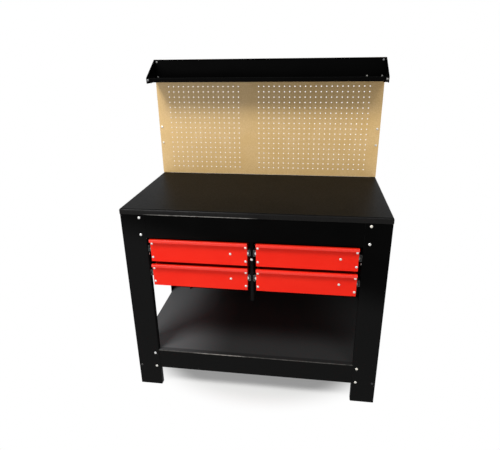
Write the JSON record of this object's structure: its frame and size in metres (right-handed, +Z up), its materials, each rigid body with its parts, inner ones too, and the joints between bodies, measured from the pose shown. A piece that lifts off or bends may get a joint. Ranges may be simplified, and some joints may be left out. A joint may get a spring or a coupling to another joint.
{
  "type": "metal workbench",
  "caption": "Folded-steel workbench with red drawers on ball slides, lower shelf, perforated hardboard back and a tray above it.",
  "frame": {"origin": "on the floor, in the middle of the whole footprint", "axes": "+X to the right of a person facing the drawers, +Y to the rear, +Z up"},
  "size_m": [1.125, 0.638, 1.484],
  "materials": {
    "black_coat": "satin powder coat",
    "red_coat": "satin powder coat",
    "hardboard": "matte pressed fibre",
    "zinc_fastener": "bright zinc",
    "slide_steel": "bright zinc"
  },
  "bodies": {
    "bench_frame": {"worktop": "black_coat", "worktop_stiffener_front": "black_coat", "worktop_stiffener_rear": "black_coat", "leg_front_left": "black_coat", "leg_front_right": "black_coat", "leg_rear_left": "black_coat", "leg_rear_right": "black_coat", "front_apron": "black_coat", "rear_apron": "black_coat", "side_apron_left": "black_coat", "side_apron_right": "black_coat", "lower_shelf": "black_coat", "shelf_stiffener": "black_coat", "back_panel": "black_coat", "drawer_carrier_left": "black_coat", "drawer_carrier_right": "black_coat", "divider_left": "black_coat", "divider_right": "black_coat", "upright_left": "black_coat", "upright_right": "black_coat", "top_tray": "black_coat", "tray_end_left": "black_coat", "tray_end_right": "black_coat", "pegboard": "hardboard", "frame_bolts": "zinc_fastener", "carrier_bolts": "zinc_fastener", "upright_bolts": "zinc_fastener", "board_screws": "zinc_fastener", "tray_bolts": "zinc_fastener", "fixed_rails_top_left": "slide_steel", "fixed_rails_top_right": "slide_steel", "fixed_rails_bottom_left": "slide_steel", "fixed_rails_bottom_right": "slide_steel"},
    "drawer_top_left": {"drawer_box_top_left": "red_coat", "drawer_front_top_left": "red_coat", "moving_rails_top_left": "slide_steel", "front_screws_top_left": "zinc_fastener"},
    "cages_top_left": {"ball_cages_top_left": "slide_steel"},
    "drawer_top_right": {"drawer_box_top_right": "red_coat", "drawer_front_top_right": "red_coat", "moving_rails_top_right": "slide_steel", "front_screws_top_right": "zinc_fastener"},
    "cages_top_right": {"ball_cages_top_right": "slide_steel"},
    "drawer_bottom_left": {"drawer_box_bottom_left": "red_coat", "drawer_front_bottom_left": "red_coat", "moving_rails_bottom_left": "slide_steel", "front_screws_bottom_left": "zinc_fastener"},
    "cages_bottom_left": {"ball_cages_bottom_left": "slide_steel"},
    "drawer_bottom_right": {"drawer_box_bottom_right": "red_coat", "drawer_front_bottom_right": "red_coat", "moving_rails_bottom_right": "slide_steel", "front_screws_bottom_right": "zinc_fastener"},
    "cages_bottom_right": {"ball_cages_bottom_right": "slide_steel"}
  },
  "joints": [
    {"name": "drawer_top_left_slide", "type": "slide", "parent": "bench_frame", "child": "drawer_top_left", "axis": [0, -1, 0], "range_m": [0, 0.3]},
    {"name": "cages_top_left_slide", "type": "slide", "parent": "bench_frame", "child": "cages_top_left", "axis": [0, -1, 0], "range_m": [0, 0.15]},
    {"name": "drawer_top_right_slide", "type": "slide", "parent": "bench_frame", "child": "drawer_top_right", "axis": [0, -1, 0], "range_m": [0, 0.3]},
    {"name": "cages_top_right_slide", "type": "slide", "parent": "bench_frame", "child": "cages_top_right", "axis": [0, -1, 0], "range_m": [0, 0.15]},
    {"name": "drawer_bottom_left_slide", "type": "slide", "parent": "bench_frame", "child": "drawer_bottom_left", "axis": [0, -1, 0], "range_m": [0, 0.3]},
    {"name": "cages_bottom_left_slide", "type": "slide", "parent": "bench_frame", "child": "cages_bottom_left", "axis": [0, -1, 0], "range_m": [0, 0.15]},
    {"name": "drawer_bottom_right_slide", "type": "slide", "parent": "bench_frame", "child": "drawer_bottom_right", "axis": [0, -1, 0], "range_m": [0, 0.3]},
    {"name": "cages_bottom_right_slide", "type": "slide", "parent": "bench_frame", "child": "cages_bottom_right", "axis": [0, -1, 0], "range_m": [0, 0.15]}
  ],
  "couplings": [
    {"joint": "cages_top_left_slide", "follows": "drawer_top_left_slide", "ratio": 0.5},
    {"joint": "cages_top_right_slide", "follows": "drawer_top_right_slide", "ratio": 0.5},
    {"joint": "cages_bottom_left_slide", "follows": "drawer_bottom_left_slide", "ratio": 0.5},
    {"joint": "cages_bottom_right_slide", "follows": "drawer_bottom_right_slide", "ratio": 0.5}
  ]
}
